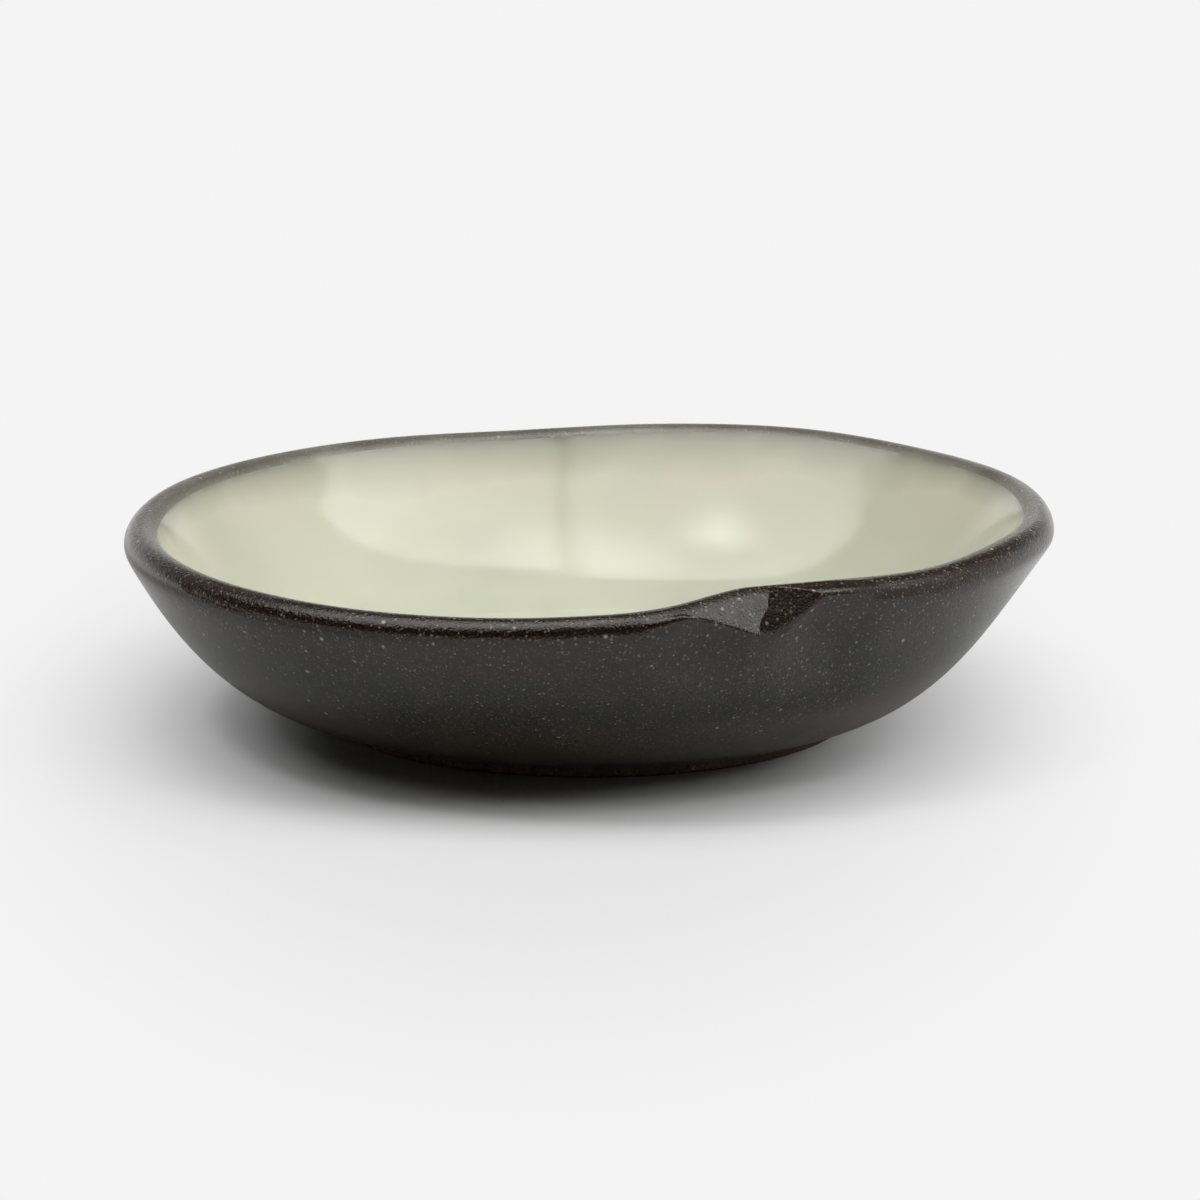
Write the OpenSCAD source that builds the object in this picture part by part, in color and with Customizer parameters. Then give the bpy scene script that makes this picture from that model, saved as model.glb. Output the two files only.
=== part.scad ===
// Hand-formed stoneware dish for soy sauce, with a pinch pressed into the rim.
// Millimetres. The origin is the middle of the foot, on the table. The front of the dish is -Y.

/* [Dish] */
// Width across the rim, over the glaze
rim_d = 100; // [84:1:120]
// Height of the rim's crest above the table, halfway between its high and low sides
rim_h = 22; // [18:0.5:30]
// Slope of the wall where it meets the rim, in degrees above level
flare_angle = 61; // [54:1:72]
// Slope of the wall where it leaves the foot, in degrees above level
heel_angle = 9; // [6:1:18]
// How far the wall's belly is drawn in on the +X side, where the dish is flatter
belly_in = 1.6; // [0:0.1:2.5]

/* [Clay] */
// Thickness of the clay at the rim, which is rounded right over
rim_t = 3.4; // [2.4:0.1:4.4]
// Thickness of the clay at the heel, above the foot's edge
heel_t = 3.6; // [2.8:0.1:5]
// How far the middle of the well lies below the edge of its floor
well_sink = 1.1; // [0.6:0.1:1.6]

/* [Foot] */
// Diameter of the foot ring
foot_d = 56; // [44:1:66]
// Height of the foot ring
foot_h = 1.2; // [0.8:0.1:3]
// Width of the foot ring's band
foot_w = 5; // [3:0.5:10]
// Worn edge of the foot ring, as a small chamfer
foot_chamfer = 0.3; // [0.1:0.05:0.5]

/* [Glaze] */
// Thickness of the clear coat on the wall and over the rim
coat_t = 0.25; // [0.15:0.05:0.5]
// Thickness of the cream liner in the well
liner_t = 0.4; // [0.2:0.05:0.8]
// Width of the bare clay band between the foot ring and the coat
bare_w = 0.9; // [0.4:0.1:3]

/* [Rim by hand] */
// How much higher the rim stands on the +X side than in the middle
rim_tilt = 0.8; // [0:0.1:2]
// Largest push of the rim in or out
wobble_in = 0.5; // [0:0.1:1]
// Largest rise or dip of the rim
wobble_up = 0.8; // [0:0.1:1.2]

/* [Pinch] */
// Place of the pinch's ridge around the rim, in degrees from +X
pinch_angle = -68; // [-110:1:-40]
// How far the crest is pushed in at the ridge
pinch_in = 3.6; // [1:0.1:4.5]
// How far the crest stands up at the ridge
pinch_up = 1.1; // [0:0.1:2]
// Length of rim over which the crest climbs to the ridge
climb_w = 17; // [10:1:24]
// Length of rim over which the crest falls back past the ridge
fall_w = 52; // [30:1:60]
// Height of the pressed facet below the crest, at the ridge
facet_h = 4; // [3:0.1:7]
// Length of rim over which the facet deepens towards the ridge
facet_w = 9; // [6:1:20]
// Length of rim over which the steep collar past the ridge fades out
collar_w = 13; // [6:1:25]
// Width of the ridge itself
ridge_w = 1.4; // [0.8:0.1:3]
// Depth below the crest at which the push has died away on a plain stretch
push_h = 13; // [8:0.5:16]

/* [Hidden] */

// How round the wall is: the reach of each end's slope, as a share of the wall's chord
heel_pull_share = 0.42;
flare_pull_share = 0.34;

// The rim's push out, and its rise, at even steps from +X, as shares of the largest
push_shares = [-0.4, 0.5, 0.2, -0.4, -0.6, 0, 0.5, 0.6, 0.3, 0, -0.2, 0.5, 0.4, -0.3, -0.6, 0, 0.4, 0];
rise_shares = [0.3, 0.4, 0.4, 0.9, 0.5, -0.2, 0.3, 0.6, 0.75, 0.3, 0.3, 0, -0.4, -0.4, 0.2, -0.1, -0.7, 0.3];

// Rows of points up the wall, over the rim, and across the floor of the well, as shares of its
// radius; and the rows over which the liner tapers
wall_rows = 9;
rim_rows = 8;
floor_shares = [0.87, 0.72, 0.5, 0.25];
taper_rows = 5;
// How the rows of the wall lie between bare band and rim: below 1 they crowd towards the rim
wall_crowding = 0.85;

// Steps around the dish, in degrees: plain, along the pinch, and at its ridge
plain_step = 5;
pinch_step = 2.25;
ridge_step = 0.5;
ring_fn = 96;

// Clay radius and crest height before the hand's work
clay_r = rim_d / 2 - coat_t;
clay_crest = rim_h - coat_t;
rim_round = rim_t / 2;
heel = [foot_d / 2, foot_h];

// Rim length to angle, at the rim's own radius
degree_per_mm = 360 / (PI * rim_d);
climb_a = climb_w * degree_per_mm;
fall_a = fall_w * degree_per_mm;
facet_a = facet_w * degree_per_mm;
collar_a = collar_w * degree_per_mm;
ridge_a = ridge_w * degree_per_mm;

// Angles of the stations around the dish, closest together at the pinch's ridge
first_a = pinch_angle - climb_a - pinch_step;
last_a = pinch_angle + collar_a;
stations = concat(
    spread(first_a, pinch_angle - ridge_a, pinch_step),
    spread(pinch_angle - ridge_a, pinch_angle + ridge_a, ridge_step),
    spread(pinch_angle + ridge_a, last_a, pinch_step),
    spread(last_a, first_a + 360, plain_step)
);
station_n = len(stations);

// Even steps from one angle to the next, without the last
function spread(from, to, step) =
    let (n = ceil((to - from) / step))
    [for (i = [0 : n - 1]) from + (to - from) * i / n];

// Soft step from 0 to 1
function smooth(t) =
    let (c = min(max(t, 0), 1))
    c * c * (3 - 2 * c);

function bezier(p, t) =
    pow(1 - t, 3) * p[0] + 3 * t * pow(1 - t, 2) * p[1] + 3 * t * t * (1 - t) * p[2] + pow(t, 3) * p[3];

function bezier_slope(p, t) =
    pow(1 - t, 2) * (p[1] - p[0]) + 2 * t * (1 - t) * (p[2] - p[1]) + t * t * (p[3] - p[2]);

// A table of shares read around the circle, on a smooth curve through them
function around(shares, a) =
    let (
        n = len(shares),
        place = ((a / 360 * n) % n + n) % n,
        i = floor(place),
        f = place - i,
        before = shares[(i + n - 1) % n],
        here = shares[i % n],
        next = shares[(i + 1) % n],
        after = shares[(i + 2) % n]
    )
    here + f / 2 * (next - before
        + f * (2 * before - 5 * here + 4 * next - after + f * (3 * (here - next) + after - before)));

// Signed angle past the pinch's ridge, from -180 to 180
function past_ridge(a) = ((a - pinch_angle + 540) % 360 + 360) % 360 - 180;

// Share of the pinch's push at this angle: a quick climb, then a slow fall
function push_at(a) =
    let (p = past_ridge(a))
    p < 0 ? smooth(1 + p / climb_a) : sqrt(smooth(1 - p / fall_a));

// How crisply the push is bounded below: 1 at the ridge, 0 where the wall is smooth
function crisp_at(a) =
    let (p = past_ridge(a))
    p < 0 ? smooth(1 + p / facet_a) : smooth(1 - p / collar_a);

// How flat the facet is pressed: full before the ridge, gone just past it
function facet_at(a) =
    let (p = past_ridge(a))
    p < 0 ? smooth((1 + p / facet_a) * 1.6) * smooth(0.5 - p / ridge_a) : 0.5 * smooth(1 - 2 * p / ridge_a);

// Middle of the rim's round, before the pinch
function rim_middle(a) = [
    clay_r - rim_round + wobble_in * around(push_shares, a),
    clay_crest - rim_round + rim_tilt * cos(a) + wobble_up * around(rise_shares, a)
];

function wall_curve(a) =
    let (
        top = rim_middle(a) + rim_round * [sin(flare_angle), -cos(flare_angle)],
        chord = norm(top - heel),
        belly = [belly_in * (1 + cos(a)) / 2, 0]
    )
    [
        heel,
        heel + heel_pull_share * chord * [cos(heel_angle), sin(heel_angle)] - belly,
        top - flare_pull_share * chord * [cos(flare_angle), sin(flare_angle)] - belly,
        top
    ];

// Places of the wall's rows on its curve: the foot's edge, the coat's edge, and so on up to the
// row that bounds the facet below, and the rim
function wall_places(curve, crest) =
    let (
        bare = bare_w / (3 * norm(curve[1] - curve[0])),
        below_rim = max(curve[3][1] - crest + facet_h, rim_round / 4),
        facet = 1 - below_rim / (3 * (curve[3][1] - curve[2][1])),
        last = wall_rows - 3
    )
    concat([0], [for (i = [0 : last]) bare + (facet - bare) * pow(i / last, wall_crowding)], [1]);

// Moves a point near the rim as the pinch does: in and up, less with depth below the crest
function pinched(p, a, crest, crisp) =
    let (
        depth = crest - p[1],
        hard = max(1 - depth / facet_h, 0),
        soft = smooth(1 - depth / push_h),
        share = push_at(a) * (crisp * hard + (1 - crisp) * soft)
    )
    p + share * [-pinch_in, pinch_up * push_at(a)];

// Presses the points of the outside flat, between the facet's foot and the rim's round
function pressed(points, a, middle) =
    let (
        crest = middle[1] + rim_round,
        foot_z = crest - facet_h * smooth(1 + past_ridge(a) / facet_a) - rim_round * (1 - crisp_at(a)),
        foot = [lookup(foot_z, [for (p = points) if (p[0] > middle[0]) [p[1], p[0]]]), foot_z],
        gap = middle - foot,
        face_a = atan2(gap[1], gap[0]) - acos(-rim_round / max(norm(gap), rim_t)),
        out = [cos(face_a), sin(face_a)]
    )
    [for (p = points) p - facet_at(a) * max((p - foot) * out, 0) * out];

// Meridian of the clay at one angle: up the outside, over the rim and down to the well's floor
function meridian(a) =
    let (
        curve = wall_curve(a),
        middle = rim_middle(a),
        crest = middle[1] + rim_round,
        places = wall_places(curve, crest),
        outside = [for (t = places) bezier(curve, t)],
        round = [
            for (j = [1 : rim_rows - 1])
                let (turn = flare_angle - 90 + 180 * j / rim_rows)
                middle + rim_round * [cos(turn), sin(turn)]
        ],
        inside = [
            for (i = [wall_rows - 1 : -1 : 0])
                let (
                    slope = bezier_slope(curve, places[i]),
                    lean = [-slope[1], slope[0]] / norm(slope)
                )
                outside[i] + (heel_t + (rim_t - heel_t) * places[i]) * lean
        ],
        crisp = crisp_at(a),
        pushed_middle = pinched(middle, a, middle[1], crisp),
        pushed = [for (p = concat(outside, round)) pinched(p, a, crest, crisp)],
        floor_edge = inside[wall_rows - 1],
        power = tan(heel_angle) * floor_edge[0] / well_sink
    )
    concat(
        pressed(pushed, a, pushed_middle),
        [for (p = inside) pinched(p, a, crest, 0)],
        [for (s = floor_shares) [s * floor_edge[0], floor_edge[1] - well_sink * (1 - pow(s, power))]]
    );

meridians = [for (a = stations) meridian(a)];
row_n = len(meridians[0]);
// The coat runs from the second row of the wall to the inner end of the rim's round
coat_first = 1;
meet_row = wall_rows + rim_rows - 1;
well_z = meridians[0][row_n - 1][1] - well_sink * pow(floor_shares[len(floor_shares) - 1], 2);

// Glaze on the clay at one row, square to the clay's own slope
function glazed(line, i, t) =
    let (
        along = line[min(i + 1, row_n - 1)] - line[max(i - 1, 0)],
        out = [along[1], -along[0]] / norm(along)
    )
    line[i] + t * out;

// The liner thins over a few rows to the coat's thickness, where the two meet
function liner_at(i) = coat_t + (liner_t - coat_t) * smooth((i - meet_row) / taper_rows);

// One ring of points in space for each row
function ring(row) =
    [for (j = [0 : station_n - 1]) [row[j][0] * cos(stations[j]), row[j][0] * sin(stations[j]), row[j][1]]];

function clay_rows(first, last) =
    [for (i = [first : last]) ring([for (line = meridians) line[i]])];

function coat_rows(first, last) =
    [for (i = [first : last]) ring([for (line = meridians) glazed(line, i, coat_t)])];

function liner_rows(first, last) =
    [for (i = [first : last]) ring([for (line = meridians) glazed(line, i, liner_at(i))])];

function flat_list(rows) = [for (row = rows) for (p = row) p];

// Faces of a sheet of rings, all split along the same diagonal, seen from outside or from inside
function sheet(base, rows, inward) = [
    for (i = [0 : rows - 2])
        for (j = [0 : station_n - 1])
            let (
                k = (j + 1) % station_n,
                a = base + i * station_n + j,
                b = base + i * station_n + k,
                c = a + station_n,
                d = b + station_n
            )
            for (face = inward ? [[a, b, d], [a, d, c]] : [[a, d, b], [a, c, d]]) face
];

// Faces between two rings of the list
function seam(low, high) = [
    for (j = [0 : station_n - 1])
        let (k = (j + 1) % station_n)
        for (face = [[low + j, low + k, high + k], [low + j, high + k, high + j]]) face
];

// Faces from a ring to its middle point
function fan(base, middle, downward) = [
    for (j = [0 : station_n - 1])
        let (k = (j + 1) % station_n)
        downward ? [base + j, base + k, middle] : [base + j, middle, base + k]
];

// Stoneware shell: wall, rounded rim and floor
module clay_body() {
    rows = clay_rows(0, row_n - 1);
    points = concat(flat_list(rows), [[0, 0, foot_h], [0, 0, well_z]]);
    under = row_n * station_n;
    last = (row_n - 1) * station_n;
    color("#3a2a22")
        polyhedron(points, concat(
            sheet(0, row_n, false),
            fan(0, under, true),
            fan(last, under + 1, false)
        ));
}

// Low ring of the same clay, luted on under the floor and left bare
module foot_ring() {
    outer = foot_d / 2;
    inner = outer - foot_w;
    color("#4a382c")
        rotate_extrude($fn = ring_fn)
            polygon([
                [inner + foot_chamfer, 0],
                [outer - foot_chamfer, 0],
                [outer, foot_chamfer],
                [outer, foot_h],
                [inner, foot_h],
                [inner, foot_chamfer]
            ]);
}

// Clear coat over the wall and the rim
module outer_glaze() {
    n = meet_row - coat_first + 1;
    outer = coat_rows(coat_first, meet_row);
    inner = clay_rows(coat_first, meet_row);
    inner_base = n * station_n;
    color("#2c211b")
        polyhedron(flat_list(concat(outer, inner)), concat(
            sheet(0, n, false),
            sheet(inner_base, n, true),
            seam(0, inner_base),
            seam(inner_base + (n - 1) * station_n, (n - 1) * station_n)
        ));
}

// Cream glaze lining the well, up to the coat on the rim
module inner_glaze() {
    n = row_n - meet_row;
    outer = liner_rows(meet_row, row_n - 1);
    inner = clay_rows(meet_row, row_n - 1);
    inner_base = n * station_n;
    points = concat(flat_list(concat(outer, inner)), [[0, 0, well_z + liner_t], [0, 0, well_z]]);
    top = 2 * n * station_n;
    color("#d8d5c0")
        polyhedron(points, concat(
            sheet(0, n, false),
            sheet(inner_base, n, true),
            seam(0, inner_base),
            fan((n - 1) * station_n, top, false),
            fan(inner_base + (n - 1) * station_n, top + 1, true)
        ));
}

clay_body();
foot_ring();
outer_glaze();
inner_glaze();
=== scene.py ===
import math

import bmesh
import bpy
import numpy as np
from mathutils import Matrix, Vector, kdtree
from mathutils.bvhtree import BVHTree


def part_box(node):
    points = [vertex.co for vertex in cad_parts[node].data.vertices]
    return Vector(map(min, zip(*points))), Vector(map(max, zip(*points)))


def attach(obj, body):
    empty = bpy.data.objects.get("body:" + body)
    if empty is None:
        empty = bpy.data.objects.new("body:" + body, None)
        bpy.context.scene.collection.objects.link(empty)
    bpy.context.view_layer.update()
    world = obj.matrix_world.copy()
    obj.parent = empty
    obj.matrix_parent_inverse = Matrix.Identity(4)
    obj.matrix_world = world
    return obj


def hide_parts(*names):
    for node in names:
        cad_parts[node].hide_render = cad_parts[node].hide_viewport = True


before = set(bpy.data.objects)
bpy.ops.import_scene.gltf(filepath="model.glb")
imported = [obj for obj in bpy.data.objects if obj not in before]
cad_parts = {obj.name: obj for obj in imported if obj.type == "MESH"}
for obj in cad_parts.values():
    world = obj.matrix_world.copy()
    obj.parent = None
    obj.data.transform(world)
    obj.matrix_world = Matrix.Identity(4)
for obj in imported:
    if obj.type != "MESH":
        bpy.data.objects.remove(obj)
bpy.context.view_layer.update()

MM = 0.001               # the dish is worked in millimetres, and the scene is in metres


# Bench tools

def linear(code):
    """An sRGB hex colour as the linear colour that a socket takes."""
    channels = [int(code[i:i + 2], 16) / 255 for i in (1, 3, 5)]
    return [c / 12.92 if c <= 0.04045 else ((c + 0.055) / 1.055) ** 2.4 for c in channels] + [1.0]


def add(tree, kind, sockets=None, stops=None, **settings):
    """Adds one node: its settings, then its sockets, each a value or another node's output.

    Stops are a ramp's places from 0 to 1, each with a hex colour or a grey level.
    """
    made = tree.nodes.new("ShaderNode" + kind)
    for name, value in settings.items():
        setattr(made, name, value)
    for name, value in (sockets or {}).items():
        if isinstance(value, bpy.types.NodeSocket):
            tree.links.new(value, made.inputs[name])
        else:
            made.inputs[name].default_value = value
    if stops:
        while len(made.color_ramp.elements) < len(stops):
            made.color_ramp.elements.new(0.5)
        for element, (place, colour) in zip(made.color_ramp.elements, stops):
            element.position = place
            element.color = linear(colour) if isinstance(colour, str) else (colour, colour, colour, 1)
    return made


def new_finish(name):
    """An empty material and its node tree."""
    made = bpy.data.materials.new(name)
    made.use_nodes = True
    made.node_tree.nodes.clear()
    return made, made.node_tree


def pick_up(obj):
    """Nothing but obj is selected and active."""
    bpy.ops.object.select_all(action="DESELECT")
    obj.select_set(True)
    bpy.context.view_layer.objects.active = obj


def choose(obj, wanted, kind="faces"):
    """In edit mode, selects the faces or points for which wanted(part) is true, and nothing else."""
    bpy.ops.mesh.select_mode(type="FACE" if kind == "faces" else "VERT")
    bpy.ops.mesh.select_all(action="DESELECT")
    mesh = bmesh.from_edit_mesh(obj.data)
    for part in getattr(mesh, kind):
        part.select = wanted(part)
    mesh.select_flush_mode()
    bmesh.update_edit_mesh(obj.data)


def blank_from(node, name):
    """A copy of a fired solid to work on, its loose triangles merged into one skin of quads."""
    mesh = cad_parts[node].data.copy()
    mesh.name = name
    mesh.materials.clear()
    piece = bpy.data.objects.new(name, mesh)
    bpy.context.scene.collection.objects.link(piece)
    pick_up(piece)
    bpy.ops.object.mode_set(mode="EDIT")
    bpy.ops.mesh.select_all(action="SELECT")
    bpy.ops.mesh.customdata_custom_splitnormals_clear()
    bpy.ops.mesh.remove_doubles(threshold=weld)
    bpy.ops.mesh.tris_convert_to_quads(face_threshold=quad_bend, shape_threshold=quad_skew)
    bpy.ops.object.mode_set(mode="OBJECT")
    return piece


def keep_edge(piece, on_edge):
    """Creases the edges whose points on_edge names, so that softening leaves them crisp."""
    pick_up(piece)
    bpy.ops.object.mode_set(mode="EDIT")
    choose(piece, lambda v: on_edge(v.co), "verts")
    bpy.ops.transform.edge_crease(value=1.0)
    bpy.ops.object.mode_set(mode="OBJECT")


def soften(piece):
    """Rounds a piece off with two rounds of subdivision, as a damp sponge does."""
    pick_up(piece)
    sponge = piece.modifiers.new("sponge", "SUBSURF")
    sponge.levels = 2
    sponge.render_levels = 2
    bpy.ops.object.modifier_apply(modifier=sponge.name)
    bpy.ops.object.shade_smooth()


def points_of(piece):
    """The points of a piece, in millimetres."""
    flat = np.empty(len(piece.data.vertices) * 3)
    piece.data.vertices.foreach_get("co", flat)
    return flat.reshape(-1, 3) / MM


def put_points(piece, points):
    """Moves the points of a piece to new places, in millimetres."""
    piece.data.vertices.foreach_set("co", (points * MM).ravel())
    piece.data.update()


def finder_of(places):
    """Finds the nearest of some places."""
    tree = kdtree.KDTree(len(places))
    for i, place in enumerate(places):
        tree.insert(place, i)
    tree.balance()
    return tree


def step(low, high, t):
    """0 below low, 1 above high, with level ends."""
    share = np.clip((t - low) / (high - low), 0, 1)
    return share * share * (3 - 2 * share)


# Working limits, in metres and radians

weld = 0.002 * MM                # points nearer than this become one point
grip = 0.01 * MM                 # places nearer than this are the same place
quad_bend = math.radians(60)     # two triangles that bend less than this become a quad
quad_skew = math.radians(89)     # even a lopsided one
crisp = math.radians(55)         # on the coats and the shell, folds sharper than this stay sharp to the eye
foot_crisp = math.radians(40)    # and on the foot, these
bevel_bend = math.radians(30)    # edges sharper than this wear off

# Sizes of the fired solids, from the frame

coat_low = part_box("outer_glaze")[0]
clay_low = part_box("clay_body")[0]
foot_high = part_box("foot_ring")[1]

# In millimetres, as every size of the dish from here on
coat_thick = (clay_low.x - coat_low.x) / MM
glaze_foot = coat_low.z / MM     # height of the clear coat's lower edge
heel_radius = foot_high.x / MM   # where the wall, the floor and the foot ring meet

# The underside: turned lines, from the heel to the middle, shallow ridges and grooves in turn

trim_first = 4.4                 # how far in from the heel they start
trim_step = 1.25
trim_depth = 0.07
worn_edge = 0.12                 # the foot ring's edges are worn off this wide

# The lip: a round about a middle line

# Facings are in degrees up from level, looking out of the dish, and offsets are from that middle
clay_round = 1.7
lip_round = clay_round + coat_thick
meeting_facing = 151             # where on the round the two glazes meet
wall_facing = -31                # the wall under the lip
top_facing, top_off = 70, 1.84   # in front, the lip's top is wiped off sloping outward
face_facing, face_off = 12, 2.476            # over a steep face
corner = 8.0                     # the higher, the tighter the corners between them
out_of_reach = 9.0               # further off than any point of the lip
wipe_fades = 0.3, 0.7            # from the sides to the front this comes in between these sines of the turn
left_share = 0.6                 # it is this weak at the front left,
left_fades = -2.2, -1.75         # and gains strength between these turns from +X, in radians
lip_skin = 0.15                  # points nearer than this to the plain round belong to it

# The pinch: places along the rim are ways past its fold

rim_radius = 47.5
fold_turn = math.radians(-68)    # where the fold stands round the rim, from +X
fold_way = 0.05                  # points from here on are past the fold
begins, ends = (-14.0, -8.5), (9.0, 16.0)        # the pinch comes in and goes out between these ways
under_fades, over_fades = (-80, -55), (70, 88)   # and between these facings
lean_low = -1.2                  # low down the fold stands this far from its place,
lean_wall, lean_wall_facings = 1.6, (-30, 4)     # further along by this over the wall,
lean_lip, lean_lip_facings = 0.8, (0, 60)        # and by this over the lip
lean_reach = 5.0                 # points further than this from the fold don't lean
facet_starts, facet_full = -9.0, -1.2
facet_facing, facet_off = 35, 2.15
facet_drop, drop_curve = 4.5, 1.05               # down the facet's slope to its flap's tip
flap_edge = math.radians(7)      # the flap's edge turns back to the wall within this angle
collar_facing, collar_off = 10, 1.05
collar_rise, collar_runs_out = 1.43, (1.0, 8.0)  # it runs out to the lip between these ways
swell, swell_curve = 1.45, 2.6   # the wall stands out this far under the fold
swell_ends = 0.3, 7.5            # and falls back past it between these ways,
swell_heights = 8.0, 18.0        # down the wall between these heights
swell_facings = -58, -33         # and up to the lip between these facings


# The coats and the shell, merged and softened

def shared_places(node_a, node_b):
    """The places where points of two solids meet."""
    points_b = finder_of([v.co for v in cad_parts[node_b].data.vertices])
    found = {}
    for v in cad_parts[node_a].data.vertices:
        if points_b.find(v.co)[2] < grip:
            found[tuple(round(c / grip) for c in v.co)] = v.co.copy()
    return list(found.values())


def dense_ring(places, steps):
    """The places in order round the dish, with more between each two."""
    ordered = sorted(places, key=lambda place: math.atan2(place.y, place.x))
    pairs = zip(ordered, ordered[1:] + ordered[:1])
    return [a.lerp(b, i / steps) for a, b in pairs for i in range(steps)]


meeting = shared_places("inner_glaze", "outer_glaze")
meeting_points = finder_of(meeting)


def where_glazes_meet(place):
    """Whether a place is on the line where the two glazes meet."""
    return meeting_points.find(place)[2] < grip


def on_heel(place):
    """Whether a place is on the ring where the foot meets the shell."""
    return abs(place.z - foot_high.z) < grip and math.hypot(place.x, place.y) > foot_high.x - grip


def glaze_coat(node, name):
    """One of the two coats of glaze, softened, with a crisp edge where it meets the other."""
    piece = blank_from(node, name)
    keep_edge(piece, where_glazes_meet)
    soften(piece)
    return piece


def turn_floor(piece):
    """Replaces the shell's flat underside with turned rings."""
    faces_down = -0.99
    pick_up(piece)
    bpy.ops.object.mode_set(mode="EDIT")
    choose(piece, lambda f: f.normal.z < faces_down)
    bpy.ops.mesh.delete(type="FACE")
    choose(piece, lambda v: on_heel(v.co), "verts")
    radius = heel_radius
    for i in range(int((heel_radius - trim_first) / trim_step)):
        inner = heel_radius - trim_first - i * trim_step
        share = inner / radius
        rise = 0 if i == 0 else trim_depth if i % 2 else -trim_depth
        bpy.ops.mesh.extrude_edges_move()
        bpy.ops.transform.resize(value=(share, share, 1), center_override=(0, 0, foot_high.z))
        bpy.ops.transform.translate(value=(0, 0, rise * MM))
        radius = inner
    bpy.ops.mesh.merge(type="CENTER")
    bpy.ops.object.mode_set(mode="OBJECT")


def stoneware_shell():
    """The clay's wall, rim and floor."""
    piece = blank_from("clay_body", "stoneware_shell")
    turn_floor(piece)
    keep_edge(piece, on_heel)
    soften(piece)
    return piece


def bare_foot():
    """The low ring under the floor, with its sharp edges worn off."""
    piece = blank_from("foot_ring", "bare_foot")
    pick_up(piece)
    bpy.ops.object.mode_set(mode="EDIT")
    bpy.ops.mesh.select_all(action="SELECT")
    bpy.ops.mesh.subdivide(number_cuts=1)
    bpy.ops.object.mode_set(mode="OBJECT")
    worn = piece.modifiers.new("worn_edge", "BEVEL")
    worn.width = worn_edge * MM
    worn.segments = 2
    worn.limit_method = "ANGLE"
    worn.angle_limit = bevel_bend
    bpy.ops.object.modifier_apply(modifier=worn.name)
    bpy.ops.object.shade_smooth_by_angle(angle=foot_crisp)
    return piece


clear_coat = glaze_coat("outer_glaze", "wall_and_rim_coat")
lining = glaze_coat("inner_glaze", "well_lining")
shell = stoneware_shell()
foot = bare_foot()


# Places round the rim

# Toward is a direction from the lip's middle, in radians up from outward, and off is how far a place
# lies from that middle. Depth is how far a point lies under the clear coat's skin.
def lip_middle():
    """Turn, radius and height of the lip's middle round the dish, from the line where the glazes meet."""
    facing = math.radians(meeting_facing)
    rows = {}
    for place in meeting:
        turn = math.atan2(place.y, place.x)
        radius = math.hypot(place.x, place.y) / MM
        key = round(turn, 3)
        if key not in rows or radius < rows[key][1]:
            rows[key] = (turn, radius, place.z / MM)
    rows = np.array(sorted(rows.values()))
    return rows - [0, lip_round * math.cos(facing), lip_round * math.sin(facing)]


middle = lip_middle()


def turn_of(points):
    """Each point's turn round the dish, from +X."""
    return np.arctan2(points[:, 1], points[:, 0])


def way_of(turn):
    """How far along the rim a turn lies past the fold."""
    return ((turn - fold_turn + math.pi) % (2 * math.pi) - math.pi) * rim_radius


def radius_of(points):
    """Each point's distance from the dish's axis."""
    return np.hypot(points[:, 0], points[:, 1])


def middle_at(turn):
    """Radius and height of the lip's middle at some turns."""
    return [np.interp(turn, middle[:, 0], middle[:, i], period=2 * math.pi) for i in (1, 2)]


def from_middle(points):
    """How far each point stands outward and upward from the lip's middle."""
    middle_r, middle_z = middle_at(turn_of(points))
    return radius_of(points) - middle_r, points[:, 2] - middle_z


def about_middle(out, up):
    """The same, as a direction and a distance."""
    return np.arctan2(up, out), np.hypot(out, up)


def placed(turn, radius, height):
    """Places at a turn, a distance from the axis and a height."""
    return np.stack([radius * np.cos(turn), radius * np.sin(turn), height], 1)


def plane_at(toward, facing, offset):
    """How far off, going one way, a plane lies that faces another at an offset from the lip's middle."""
    least = 0.02                 # a plane that is met nearly edge on isn't followed to the end
    return offset / np.maximum(np.cos(toward - math.radians(facing)), least)


def nearest_of(*distances):
    """The least of some distances, with a small round where one takes over from another."""
    return sum(distance ** -corner for distance in distances) ** (-1 / corner)


def inside_round(toward, off, radius):
    """Keeps a worked skin inside the lip's plain round, past the top."""
    return np.minimum(off, np.where(toward > math.radians(top_facing), radius, out_of_reach))


# The lip, wiped off in front

def lip_at(toward, turn, wall):
    """How far the lip's skin stands from its middle, over a wall at a given distance."""
    front = step(*wipe_fades, -np.sin(turn)) * (left_share + (1 - left_share) * step(*left_fades, turn))
    wiped = nearest_of(plane_at(toward, top_facing, top_off), plane_at(toward, face_facing, face_off), wall)
    return lip_round + front * (inside_round(toward, wiped, lip_round) - lip_round)


def wipe(points, depth):
    """Gives the lip's plain round its wiped form, all along the front."""
    turn = turn_of(points)
    toward, off = about_middle(*from_middle(points))
    middle_r, middle_z = middle_at(turn)
    on_lip = (np.abs(off + depth - lip_round) < lip_skin) & (toward > math.radians(wall_facing))
    wiped = lip_at(toward, turn, plane_at(toward, wall_facing, lip_round))
    off = off + (wiped - lip_round) * on_lip
    return placed(turn, middle_r + off * np.cos(toward), middle_z + off * np.sin(toward))


# Its pinch, pressed and folded

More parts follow.
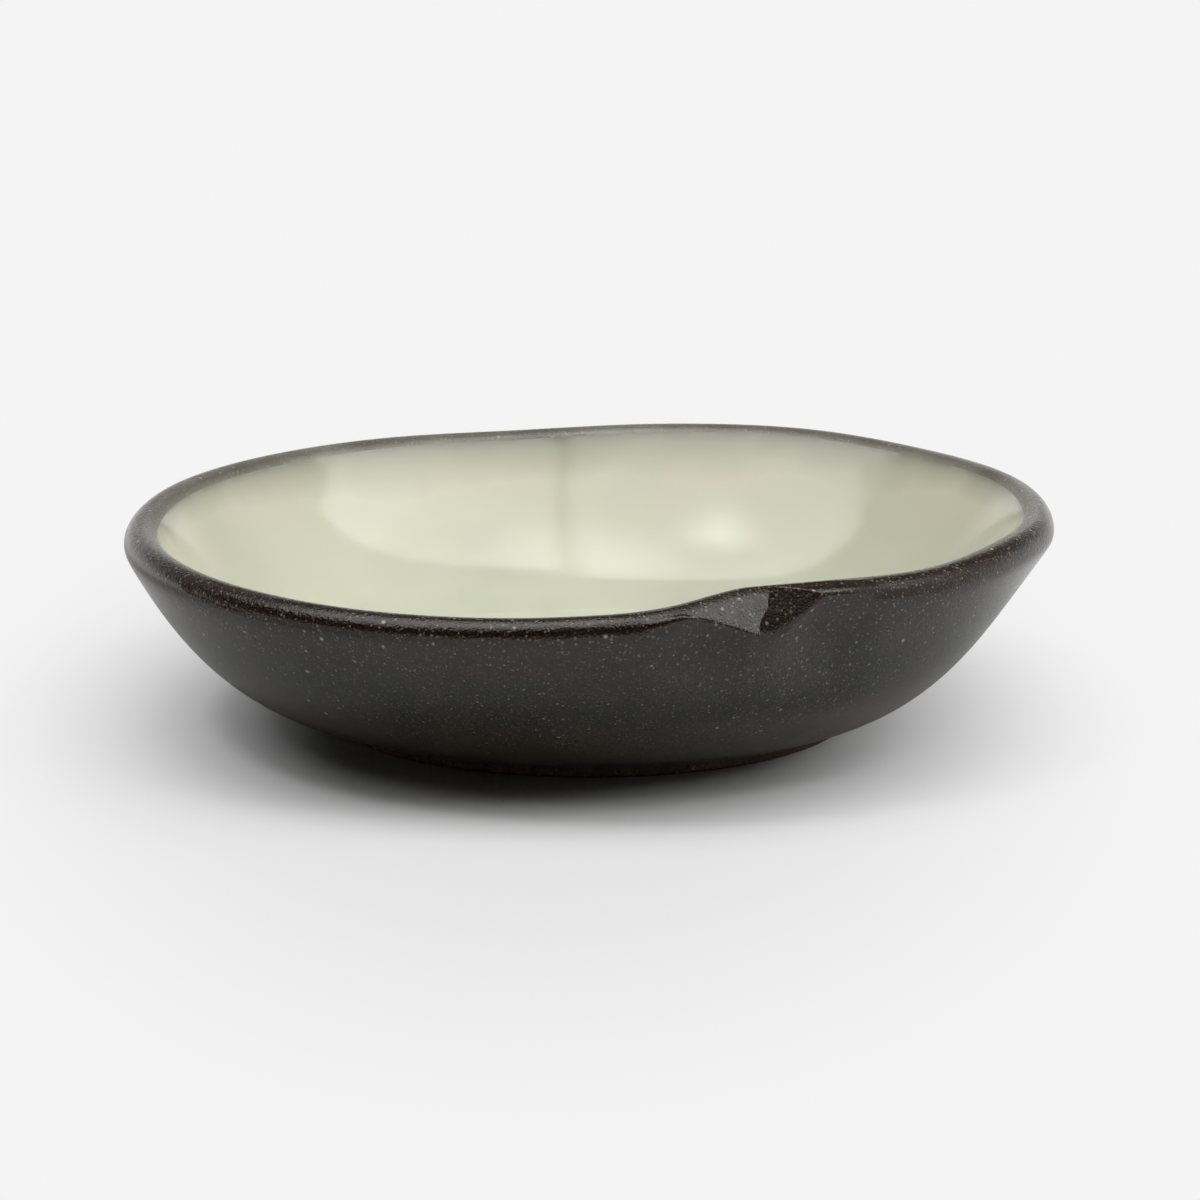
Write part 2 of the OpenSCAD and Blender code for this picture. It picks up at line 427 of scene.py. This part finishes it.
def lean_fold(points):
    """Shifts points along the rim, so that the fold leans, and says how much the pinch works on each."""
    turn = turn_of(points)
    facing = np.degrees(about_middle(*from_middle(points))[0])
    window = step(*under_fades, facing) * (1 - step(*over_fades, facing))
    lean = lean_low + lean_wall * step(*lean_wall_facings, facing)
    lean = lean + lean_lip * step(*lean_lip_facings, facing)
    near = np.clip(1 - np.abs(way_of(turn)) / lean_reach, 0, 1)
    turn = turn + lean * window * near / rim_radius
    return placed(turn, radius_of(points), points[:, 2]), window, facing


def facet_at(toward, share, skin, depth):
    """The flat before the fold: it faces up, from a flap's edge over the wall to the lip's top."""
    tilt = math.radians(facet_facing)
    drop = facet_drop * share ** drop_curve
    edge = np.arctan2(facet_off * math.sin(tilt) - drop * math.cos(tilt),
                      facet_off * math.cos(tilt) + drop * math.sin(tilt))
    flat = nearest_of(plane_at(toward, top_facing, top_off - depth),
                      plane_at(toward, facet_facing, facet_off - depth))
    flat = inside_round(toward, flat, lip_round - depth)
    over = step(-flap_edge, 0, toward - edge)
    return skin * (1 - over) + flat * over


def collar_at(toward, way, skin, depth):
    """The steep face past the fold, under a crisp corner."""
    offset = collar_off + collar_rise * step(*collar_runs_out, way) - depth
    return np.minimum(plane_at(toward, collar_facing, offset), skin)


def wall_under(way, share):
    """How far the wall stands from the lip's middle, square to its own lean."""
    swollen = np.where(way < facet_full, share ** swell_curve, 1 - step(*swell_ends, way))
    return lip_round + swell * swollen


def press(points, depth):
    """Presses the pinch: the wall swells under it, with a flat before the fold and a collar past it."""
    turn = turn_of(points)
    past_fold = way_of(turn) > fold_way
    out, up = from_middle(points)
    middle_r, middle_z = middle_at(turn)
    points, window, facing = lean_fold(points)
    turn = turn_of(points)
    way = way_of(turn)
    leant_r, leant_z = middle_at(turn)
    middle_r = middle_r + window * (leant_r - middle_r)
    middle_z = middle_z + window * (leant_z - middle_z)
    begun = step(*begins, way)
    still = 1 - step(*ends, way)
    share = np.clip((way - facet_starts) / (facet_full - facet_starts), 0, 1)
    wall_off = wall_under(way, share)
    fade = begun * still * step(*swell_heights, points[:, 2]) * (1 - step(*swell_facings, facing))
    lean = math.radians(wall_facing)
    move = (wall_off - depth - (out * math.cos(lean) + up * math.sin(lean))) * fade
    toward, off = about_middle(out + move * math.cos(lean), up + move * math.sin(lean))
    wall = plane_at(toward, wall_facing, wall_off - depth)
    skin = lip_at(toward, turn, wall + depth) - depth
    collar = collar_at(toward, way, skin, depth)
    facet = facet_at(toward, share, skin, depth)
    off = off + window * np.where(past_fold, still * (collar - off), begun * (facet - off))
    return placed(turn, middle_r + off * np.cos(toward), middle_z + off * np.sin(toward))


def surface_of(piece):
    """Finds the nearest point of a piece's surface."""
    mesh = bmesh.new()
    mesh.from_mesh(piece.data)
    tree = BVHTree.FromBMesh(mesh)
    mesh.free()
    return tree


def depth_of(piece, clay):
    """How deep each point of the coat lies, from its distance to the clay."""
    gaps = np.array([clay.find_nearest(v.co)[3] for v in piece.data.vertices]) / MM
    return np.clip(coat_thick - gaps, 0, coat_thick)


def refine_pinch(piece, depth):
    """Gives the coat finer faces on its skin, where the pinch is worked."""
    reach, lowest, inward, deepest = 10.0, 16.5, 1.0, 0.12
    points = points_of(piece)
    worked = (np.abs(way_of(turn_of(points))) < reach) & (points[:, 2] > lowest)
    worked &= (from_middle(points)[0] > -inward) & (depth < deepest)
    pick_up(piece)
    bpy.ops.object.mode_set(mode="EDIT")
    choose(piece, lambda f: all(worked[v.index] for v in f.verts))
    bpy.ops.mesh.subdivide(number_cuts=1)
    bpy.ops.object.mode_set(mode="OBJECT")


def work_lip(piece, depth):
    """Wipes the lip of a piece and presses its pinch."""
    first, last, lowest = -15, 18, 8           # the pinch's zone: ways along the rim and a height
    inward, slope = 1.6, 0.75                  # and inward, as far as the wall's outer half
    points = wipe(points_of(piece), depth)
    way = way_of(turn_of(points))
    out, up = from_middle(points)
    zone = (way > first) & (way < last) & (points[:, 2] > lowest)
    zone &= out > -inward - np.maximum(-up, 0) * slope
    points[zone] = press(points[zone], depth[zone])
    put_points(piece, points)


clay = surface_of(shell)
refine_pinch(clear_coat, depth_of(clear_coat, clay))
work_lip(clear_coat, depth_of(clear_coat, clay))
clearance = 0.02                 # the clay stays this far under the coat's inner side
work_lip(shell, np.full(len(shell.data.vertices), coat_thick + clearance))

for piece in (clear_coat, lining, shell):
    pick_up(piece)
    bpy.ops.object.shade_smooth_by_angle(angle=crisp)


# Marks on the pieces, which their finishes read

def mark(piece, name, values):
    """Writes a value for each point on a piece."""
    made = piece.data.attributes.new(name, "FLOAT", "POINT")
    made.data.foreach_set("value", values)


def distances(finder, piece):
    """Each point's distance from some places."""
    return [finder.find(v.co)[2] / MM for v in piece.data.vertices]


def sandy_spot(piece):
    """Where grog crowds to the surface, from 0 to 1: on the wall past the fold, under the collar."""
    least, most = 0.1, 1.0
    spot_way, spot_reach = 5, 8.5
    spot_height, spot_rise = 14, 4.5
    points = points_of(piece)
    aside = (way_of(turn_of(points)) - spot_way) / spot_reach
    above = (points[:, 2] - spot_height) / spot_rise
    return least + (most - least) * np.exp(-aside ** 2 - above ** 2)


meeting_line = finder_of(dense_ring(meeting, 8))
mark(clear_coat, "from_lining", distances(meeting_line, clear_coat))
mark(lining, "from_coat", distances(meeting_line, lining))
mark(clear_coat, "sandy", sandy_spot(clear_coat))


# Patterns in the clay and the glazes

def spots(tree, place, ground, kinds, share_of):
    """Scatters grains over a ground colour.

    Each kind has its spacing in mm, its largest radius in spacings, how common it is, and its colour.
    """
    smallest = 0.35              # of the largest radius
    edge = -0.05, 0.09           # how softly a grain ends, in spacings
    for spacing, radius, common, colour in kinds:
        grog = add(tree, "TexVoronoi", {"Vector": place, "Scale": 1 / (spacing * MM)})
        pick = add(tree, "SeparateColor", {"Color": grog.outputs["Color"]}).outputs
        there = add(tree, "Math", {0: pick["Red"], 1: share_of(common)}, operation="LESS_THAN").outputs[0]
        size = add(tree, "MapRange", {"Value": pick["Green"], "To Min": radius * smallest,
                                      "To Max": radius}).outputs[0]
        inside = add(tree, "Math", {0: size, 1: grog.outputs["Distance"]}, operation="SUBTRACT").outputs[0]
        grain = add(tree, "MapRange", {"Value": inside, "From Min": edge[0], "From Max": edge[1]}).outputs[0]
        grain = add(tree, "Math", {0: grain, 1: there}, operation="MULTIPLY").outputs[0]
        ground = add(tree, "MixRGB", {"Fac": grain, "Color1": ground, "Color2": linear(colour)}).outputs[0]
    return ground


def sanded(tree, place, ground, size, low, high):
    """Fine sand in the clay: its grains take from low to high times the ground's colour."""
    sand = add(tree, "TexNoise", {"Vector": place, "Scale": 1 / (size * MM), "Detail": 2.0,
                                  "Roughness": 0.7}).outputs["Fac"]
    level = add(tree, "MapRange", {"Value": sand, "From Min": 0.34, "From Max": 0.66,
                                   "To Min": low, "To Max": high}).outputs[0]
    return add(tree, "VectorMath", {0: ground, "Scale": level}, operation="SCALE").outputs[0]


def wobbled(tree, place):
    """Places shifted a little, so that a pattern on them isn't too regular."""
    size, reach = 0.5, 0.12
    warp = add(tree, "TexNoise", {"Vector": place, "Scale": 1 / (size * MM), "Detail": 1.0}).outputs["Color"]
    warp = add(tree, "VectorMath", {0: warp, 1: (reach * MM,) * 3}, operation="MULTIPLY").outputs[0]
    return add(tree, "VectorMath", {0: place, 1: warp}, operation="ADD").outputs[0]


def cream_run(tree, place):
    """How far the cream runs out and thins, from 0 to 1: it changes slowly round the rim."""
    size = 11
    run = add(tree, "TexNoise", {"Vector": place, "Scale": 1 / (size * MM), "Detail": 2.0}).outputs["Fac"]
    return add(tree, "MapRange", {"Value": run, "From Min": 0.32, "From Max": 0.68}).outputs[0]


def veiled(tree, place, ground, near):
    """Cream carried over the shoulder veils the inner side of the rim, and ends along its crest."""
    width = 2.0
    side_y, back_y = 0.0, 35.0   # in front and at the sides it is thinner than at the back
    across = add(tree, "MapRange", {"Value": near, "From Max": width}).outputs[0]
    veil = add(tree, "ValToRGB", {"Fac": across}, stops=[
        (0.0, 0.62), (0.17, 0.46), (0.38, 0.33), (0.7, 0.36), (0.85, 0.22), (1.0, 0.0)]).outputs["Color"]
    run = add(tree, "MapRange", {"Value": cream_run(tree, place), "To Min": 0.75, "To Max": 1.35}).outputs[0]
    veil = add(tree, "Math", {0: veil, 1: run}, operation="MULTIPLY", use_clamp=True).outputs[0]
    y = add(tree, "SeparateXYZ", {"Vector": place}).outputs["Y"]
    thinner = add(tree, "MapRange", {"Value": y, "From Min": side_y * MM, "From Max": back_y * MM,
                                     "To Min": 0.6, "To Max": 1.0}).outputs[0]
    veil = add(tree, "Math", {0: veil, 1: thinner}, operation="MULTIPLY").outputs[0]
    return add(tree, "MixRGB", {"Fac": veil, "Color1": ground, "Color2": linear("#989a8b")}).outputs[0]


def thin_glaze_and_painted_bounce(tree, height, ground):
    """Low down the glaze lies thinner and the clay shows browner; the lighter brown there is also painted
    bounce light from the table.
    """
    thinnest, full = 2.5, 10.0
    thinner = add(tree, "MapRange", {"Value": height, "From Min": thinnest * MM, "From Max": full * MM,
                                     "To Min": 0.9, "To Max": 0.0}).outputs[0]
    return add(tree, "MixRGB", {"Fac": thinner, "Color1": ground, "Color2": linear("#463d33")}).outputs[0]


def chipped_edge(tree, place, height, ground):
    """The glaze's wiped lower edge is worn through to pale clay in chips."""
    lower, upper = glaze_foot + 0.15, glaze_foot + 0.45
    size = 7
    low = add(tree, "MapRange", {"Value": height, "From Min": lower * MM, "From Max": upper * MM,
                                 "To Min": 1.0, "To Max": 0.0}).outputs[0]
    worn = add(tree, "TexNoise", {"Vector": place, "Scale": 1 / (size * MM), "Detail": 5.0,
                                  "Roughness": 0.8}).outputs["Fac"]
    worn = add(tree, "MapRange", {"Value": worn, "From Min": 0.49, "From Max": 0.55}).outputs[0]
    chips = add(tree, "Math", {0: low, 1: worn}, operation="MULTIPLY").outputs[0]
    return add(tree, "MixRGB", {"Fac": chips, "Color1": ground, "Color2": linear("#eadcbd")}).outputs[0]


# Finishes

def clear_glazed_stoneware(name):
    """Dark chocolate stoneware with pale grog, dipped in a thin clear glaze and fired glossy."""
    # The eye sees clay wetted nearly black by the glaze, olive to brown, with pale grains in it. Sand
    # under the glaze breaks the highlights up, most on the rim, where the wiped glaze is thinnest.
    lip_ends, wall_starts = 3.5, 6.5           # from the lining
    mottle_size = 6
    sand_size = 0.22             # real sand is finer: it is drawn this coarse so that it shows
    dome_size, dust_size = 0.5, 0.24           # grog, and sand drawn as coarse, felt through the glaze
    relief_height = 0.035
    made, tree = new_finish(name)
    place = add(tree, "TexCoord").outputs["Object"]
    height = add(tree, "SeparateXYZ", {"Vector": place}).outputs["Z"]
    bent = wobbled(tree, place)
    near = add(tree, "Attribute", attribute_name="from_lining").outputs["Fac"]
    sandy = add(tree, "Attribute", attribute_name="sandy").outputs["Fac"]
    far = add(tree, "MapRange", {"Value": near, "From Min": lip_ends, "From Max": wall_starts},
              interpolation_type="SMOOTHSTEP").outputs[0]
    mottle = add(tree, "TexNoise", {"Vector": place, "Scale": 1 / (mottle_size * MM), "Detail": 6.0,
                                    "Roughness": 0.82}).outputs["Fac"]
    wall = add(tree, "ValToRGB", {"Fac": mottle}, stops=[
        (0.35, "#14160b"), (0.5, "#1e1e12"), (0.65, "#2f2617")]).outputs["Color"]
    lip = add(tree, "ValToRGB", {"Fac": mottle}, stops=[
        (0.3, "#150d07"), (0.7, "#25180f")]).outputs["Color"]
    ground = add(tree, "MixRGB", {"Fac": far, "Color1": lip, "Color2": wall}).outputs[0]
    ground = sanded(tree, place, ground, sand_size, low=0.4, high=1.8)

    def share_of(common):
        """How common a kind is here, from its shares on the lip, on the wall and on the sandy spot."""
        on_lip, on_wall, on_sand = common
        share = add(tree, "MapRange", {"Value": sandy, "To Min": on_wall, "To Max": on_sand}).outputs[0]
        return add(tree, "MapRange", {"Value": far, "To Min": on_lip, "To Max": share}).outputs[0]

    ground = spots(tree, bent, ground, (
        (0.34, 0.48, (0.40, 0.45, 0.80), "#3d3b30"),       # grey-olive sand
        (0.45, 0.38, (0.45, 0.04, 0.04), "#33221a"),       # brown grains, on the lip
        (0.45, 0.36, (0.45, 0.06, 0.45), "#625d50"),       # fine pale grog
        (0.65, 0.25, (0.12, 0.03, 0.70), "#6b6757"),       # pale grog, on the sandy spot
        (1.60, 0.14, (0.50, 0.12, 0.60), "#98948a"),       # the palest, far apart
        (0.60, 0.30, (0.30, 0.30, 0.30), "#0c0906")), share_of)     # black grains, everywhere
    ground = veiled(tree, place, ground, near)
    # low on the wall: thinner glaze, and painted bounce light from the table
    ground = thin_glaze_and_painted_bounce(tree, height, ground)
    ground = chipped_edge(tree, place, height, ground)
    domes = add(tree, "TexVoronoi", {"Vector": bent, "Scale": 1 / (dome_size * MM)}).outputs["Distance"]
    dust = add(tree, "TexNoise", {"Vector": place, "Scale": 1 / (dust_size * MM),
                                  "Detail": 2.0}).outputs["Fac"]
    relief = add(tree, "Math", {0: domes, 1: -0.2, 2: dust}, operation="MULTIPLY_ADD").outputs[0]
    stand = add(tree, "MapRange", {"Value": near, "From Min": 2.6, "From Max": 4.0,
                                   "To Min": 2.1, "To Max": 1.1}).outputs[0]
    relief = add(tree, "Math", {0: relief, 1: stand}, operation="MULTIPLY").outputs[0]
    bump = add(tree, "Bump", {"Height": relief, "Strength": 1.0, "Distance": relief_height * MM}).outputs[0]
    gloss = add(tree, "MapRange", {"Value": far, "To Min": 0.1, "To Max": 0.2}).outputs[0]
    surface = add(tree, "BsdfPrincipled", {"Base Color": ground, "IOR": 1.5, "Normal": bump,
                                           "Roughness": gloss})
    add(tree, "OutputMaterial", {"Surface": surface.outputs["BSDF"]})
    return made


def bare_fired_stoneware(name):
    """The same stoneware bare, wiped with a sponge before it was fired."""
    # The eye sees a dry, matt brown with grog standing at the surface.
    mottle_size, dome_size, relief_height = 4, 0.35, 0.04
    sand_size = 0.25             # drawn coarser than real sand, so that it shows
    made, tree = new_finish(name)
    place = add(tree, "TexCoord").outputs["Object"]
    bent = wobbled(tree, place)
    mottle = add(tree, "TexNoise", {"Vector": place, "Scale": 1 / (mottle_size * MM), "Detail": 6.0,
                                    "Roughness": 0.65}).outputs["Fac"]
    ground = add(tree, "ValToRGB", {"Fac": mottle}, stops=[
        (0.3, "#4a3b2f"), (0.7, "#6f5c49")]).outputs["Color"]
    ground = sanded(tree, place, ground, sand_size, low=0.7, high=1.3)
    ground = spots(tree, bent, ground, (
        (0.45, 0.35, 0.35, "#86745f"),
        (0.90, 0.25, 0.35, "#a8987f"),
        (2.20, 0.12, 0.30, "#c0b298"),
        (0.60, 0.30, 0.30, "#33271e")), lambda common: common)
    domes = add(tree, "TexVoronoi", {"Vector": bent, "Scale": 1 / (dome_size * MM)}).outputs["Distance"]
    bump = add(tree, "Bump", {"Height": domes, "Strength": 0.8, "Distance": relief_height * MM},
               invert=True).outputs[0]
    surface = add(tree, "BsdfPrincipled", {"Base Color": ground, "IOR": 1.5, "Normal": bump,
                                           "Roughness": 0.85})
    add(tree, "OutputMaterial", {"Surface": surface.outputs["BSDF"]})
    return made


def cream_satin_glaze(name):
    """Cream stoneware glaze, poured into the well and fired satin."""
    # The eye sees a soft gloss, warm where the glaze thins up the side and a little greener where it
    # pools; near the rim it thins until the grey clay shows through.
    cloud_size, wave_size, wave_height = 14, 6, 0.05
    pool_reach = 40              # from the rim to the middle of the pool
    thin_most, thin_least = 6.4, 3.6           # how far down from the rim it is thin
    front_y, back_y = 12.0, 42.0               # less far down in front than at the back
    made, tree = new_finish(name)
    place = add(tree, "TexCoord").outputs["Object"]
    near = add(tree, "Attribute", attribute_name="from_coat").outputs["Fac"]
    cloud = add(tree, "TexNoise", {"Vector": place, "Scale": 1 / (cloud_size * MM),
                                   "Detail": 4.0}).outputs["Fac"]
    cloud = add(tree, "MapRange", {"Value": cloud, "From Min": 0.3, "From Max": 0.7,
                                   "To Min": -0.25, "To Max": 0.25}).outputs[0]
    depth_in = add(tree, "MapRange", {"Value": near, "From Min": 0.0, "From Max": pool_reach}).outputs[0]
    pooled = add(tree, "Math", {0: depth_in, 1: cloud}, operation="ADD").outputs[0]
    pool = add(tree, "ValToRGB", {"Fac": pooled}, stops=[
        (0.0, "#c7c4af"), (0.3, "#c3c3ae"), (0.7, "#b9bca8"), (1.0, "#b5b9a4")]).outputs["Color"]
    y = add(tree, "SeparateXYZ", {"Vector": place}).outputs["Y"]
    side = add(tree, "MapRange", {"Value": y, "From Min": front_y * MM, "From Max": back_y * MM,
                                  "To Min": 0.5, "To Max": 1.15}).outputs[0]
    reach = add(tree, "MapRange", {"Value": cream_run(tree, place), "To Min": thin_most,
                                   "To Max": thin_least}).outputs[0]
    reach = add(tree, "Math", {0: reach, 1: side}, operation="MULTIPLY").outputs[0]
    down = add(tree, "Math", {0: near, 1: reach}, operation="DIVIDE").outputs[0]
    cover = add(tree, "ValToRGB", {"Fac": down}, stops=[
        (0.0, 0.0), (0.1, 0.25), (0.2, 0.43), (0.4, 0.63), (0.65, 0.82), (1.0, 1.0)]).outputs["Color"]
    ground = add(tree, "MixRGB", {"Fac": cover, "Color1": linear("#7f8074"), "Color2": pool}).outputs[0]
    waves = add(tree, "TexNoise", {"Vector": place, "Scale": 1 / (wave_size * MM),
                                   "Detail": 1.0}).outputs["Fac"]
    bump = add(tree, "Bump", {"Height": waves, "Strength": 1.0, "Distance": wave_height * MM}).outputs[0]
    surface = add(tree, "BsdfPrincipled", {"Base Color": ground, "Roughness": 0.13, "IOR": 1.55,
                                           "Normal": bump})
    add(tree, "OutputMaterial", {"Surface": surface.outputs["BSDF"]})
    return made


glazed_stoneware = clear_glazed_stoneware("stoneware_under_clear_glaze")
bare_stoneware = bare_fired_stoneware("bare_fired_stoneware")
cream_glaze = cream_satin_glaze("cream_satin_glaze")

for piece, node, slot, finish in ((clear_coat, "outer_glaze", "clear_coat", glazed_stoneware),
                                  (lining, "inner_glaze", "cream_glaze", cream_glaze),
                                  (shell, "clay_body", "stoneware_clay", bare_stoneware),
                                  (foot, "foot_ring", "stoneware_clay", bare_stoneware)):
    piece.data.materials.append(finish)
    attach(piece, "root")
    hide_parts(node)


# The table

paper = linear("#f4f4f4")


def white_table(name):
    """A matt white table top, which fades to plain paper white away from the dish."""
    # Seen by the camera it fades by an oval, long from front to back, so the glowing paper white comes in
    # sooner at the sides and lifts the dish's shadow there: painted light. Seen in the glaze it fades further
    # out, and its left side is darker, as with a grey card laid there: painted shade in the dish's
    # reflection.
    # Places are on the X axis, in mm.
    oval_middle, oval_share, oval_fades = -5.0, 0.42, (22.0, 70.0)
    mirror_middle, mirror_fades = -35.0, (60.0, 200.0)
    shade_in_glaze_full, shade_in_glaze_ends, shade_in_glaze_share = -90.0, -30.0, 0.6
    made, tree = new_finish(name)
    place = add(tree, "TexCoord").outputs["Object"]
    path = add(tree, "LightPath").outputs
    mirrored = add(tree, "Math", {0: path["Is Glossy Ray"], 1: path["Is Transmission Ray"]},
                   operation="ADD", use_clamp=True).outputs[0]

    def plain_beyond(middle, share, fades):
        """0 near a middle and 1 far from it, in a circle or, with a share below 1, in an oval."""
        moved = add(tree, "VectorMath", {0: place, 1: (-middle * MM, 0, 0)}, operation="ADD").outputs[0]
        moved = add(tree, "VectorMath", {0: moved, 1: (1, share, 1)}, operation="MULTIPLY").outputs[0]
        far = add(tree, "VectorMath", {0: moved}, operation="LENGTH").outputs["Value"]
        return add(tree, "MapRange", {"Value": far, "From Min": fades[0] * MM, "From Max": fades[1] * MM},
                   interpolation_type="SMOOTHSTEP").outputs[0]

    # Where the oval lets the paper's glow in, it lifts the dish's cast shadow at the sides: painted light.
    seen = add(tree, "Math", {0: path["Is Camera Ray"], 1: plain_beyond(oval_middle, oval_share, oval_fades)},
               operation="MULTIPLY").outputs[0]
    plain = add(tree, "Math", {0: mirrored, 1: plain_beyond(mirror_middle, 1, mirror_fades), 2: seen},
                operation="MULTIPLY_ADD").outputs[0]
    # Painted shade in the dish's reflection: to glossy rays the table's left side turns darker grey.
    x = add(tree, "SeparateXYZ", {"Vector": place}).outputs["X"]
    card = add(tree, "MapRange", {"Value": x, "From Min": shade_in_glaze_full * MM, "From Max": shade_in_glaze_ends * MM,
                                  "To Min": shade_in_glaze_share, "To Max": 0.0}).outputs[0]
    card = add(tree, "Math", {0: mirrored, 1: card}, operation="MULTIPLY").outputs[0]
    grey = add(tree, "MixRGB", {"Fac": card, "Color1": linear("#cacaca"),
                                "Color2": linear("#505050")}).outputs[0]
    matt = add(tree, "BsdfDiffuse", {"Color": grey}).outputs[0]
    flat = add(tree, "Emission", {"Color": paper, "Strength": 1.0}).outputs[0]
    surface = add(tree, "MixShader", {"Fac": plain, 1: matt, 2: flat}).outputs[0]
    add(tree, "OutputMaterial", {"Surface": surface})
    return made


bpy.ops.object.select_all(action="DESELECT")
bpy.ops.mesh.primitive_plane_add(size=8, location=(0, 0, 0))
table = bpy.context.object
table.name = "table"
table.data.materials.append(white_table("white_table"))


# The lamps, all facing down from one height

ceiling = 1.4            # and each one's middle and size are given as if one metre up


def soft_box(name, middle, size, radiance):
    """A soft box over the table, which the camera itself doesn't see."""
    bpy.ops.object.select_all(action="DESELECT")
    bpy.ops.object.light_add(type="AREA", location=(middle[0] * ceiling, middle[1] * ceiling, ceiling))
    lamp = bpy.context.object
    lamp.name = name
    lamp.data.shape = "RECTANGLE"
    lamp.data.size = size[0] * ceiling
    lamp.data.size_y = size[1] * ceiling
    lamp.data.energy = radiance * math.pi * lamp.data.size * lamp.data.size_y
    lamp.visible_camera = False
    return lamp


def matt_card(name, middle, size, radiance):
    """A reflecting card up there: it lightens matt surfaces and doesn't show in the glaze."""
    lamp = soft_box(name, middle, size, radiance)
    lamp.visible_glossy = False


soft_box("left_soft_box", (-0.57, -0.10), (1.10, 1.0), 2.35)
soft_box("left_tube", (-0.52, -0.13), (0.17, 0.22), 21.0)
soft_box("right_soft_box", (0.36, -0.20), (0.64, 0.9), 2.0)
soft_box("right_soft_box_far", (0.94, -0.20), (0.52, 0.9), 2.7)
soft_box("right_tube", (0.54, -0.26), (0.30, 0.24), 4.4)
matt_card("front_card", (0.0, -0.45), (1.6, 0.5), 0.45)
matt_card("right_card", (2.2, -0.1), (1.2, 1.2), 6.0)


# The room: a white wall behind, dim above and in front, with light straight above and on the right

to_the_right = (0.88, 0.05, 0.47)
world = bpy.context.scene.world or bpy.data.worlds.new("studio")
bpy.context.scene.world = world
world.use_nodes = True
tree = world.node_tree
tree.nodes.clear()
way = add(tree, "TexCoord").outputs["Generated"]
parts = add(tree, "SeparateXYZ", {"Vector": way}).outputs
height = add(tree, "ValToRGB", {"Fac": parts["Z"]}, stops=[
    (0.0, 0.9), (0.15, 0.8), (0.28, 0.17), (0.6, 0.12), (1.0, 0.12)]).outputs["Color"]
behind = add(tree, "MapRange", {"Value": parts["Y"], "From Min": 0.1, "From Max": 0.6,
                                "To Min": 0.08, "To Max": 1.0}, interpolation_type="SMOOTHSTEP").outputs[0]
level = add(tree, "Math", {0: behind, 1: height}, operation="MULTIPLY").outputs[0]
above = add(tree, "MapRange", {"Value": parts["Z"], "From Min": 0.94, "From Max": 0.99,
                               "To Max": 1.6}).outputs[0]
level = add(tree, "Math", {0: level, 1: above}, operation="ADD").outputs[0]
beside = add(tree, "VectorMath", {0: way, 1: to_the_right}, operation="DOT_PRODUCT").outputs["Value"]
beside = add(tree, "MapRange", {"Value": beside, "From Min": 0.75, "From Max": 0.98,
                                "To Min": 0.0, "To Max": 0.6}, interpolation_type="SMOOTHSTEP").outputs[0]
level = add(tree, "Math", {0: level, 1: beside}, operation="ADD").outputs[0]
room = add(tree, "Background", {"Color": (1, 1, 1, 1), "Strength": level}).outputs[0]
backdrop = add(tree, "Background", {"Color": paper, "Strength": 1.0}).outputs[0]
seen = add(tree, "LightPath").outputs["Is Camera Ray"]
surface = add(tree, "MixShader", {"Fac": seen, 1: room, 2: backdrop}).outputs[0]
add(tree, "OutputWorld", {"Surface": surface})


# The camera: a long lens, a little above the table

camera_elevation = math.radians(12.9)
camera_distance = 0.70
camera_aim = Vector((0.0011, 0.0, 0.0126))
camera_lens = 195.3
sensor_width = 36
toward_camera = Vector((0, -math.cos(camera_elevation), math.sin(camera_elevation)))
bpy.ops.object.camera_add()
camera = bpy.context.object
camera.data.lens = camera_lens
camera.data.sensor_width = sensor_width
camera.data.clip_start = 0.01
camera.location = camera_aim + camera_distance * toward_camera
camera.rotation_euler = (math.pi / 2 - camera_elevation, 0, 0)
bpy.context.scene.camera = camera
bpy.context.scene.view_settings.view_transform = "Standard"
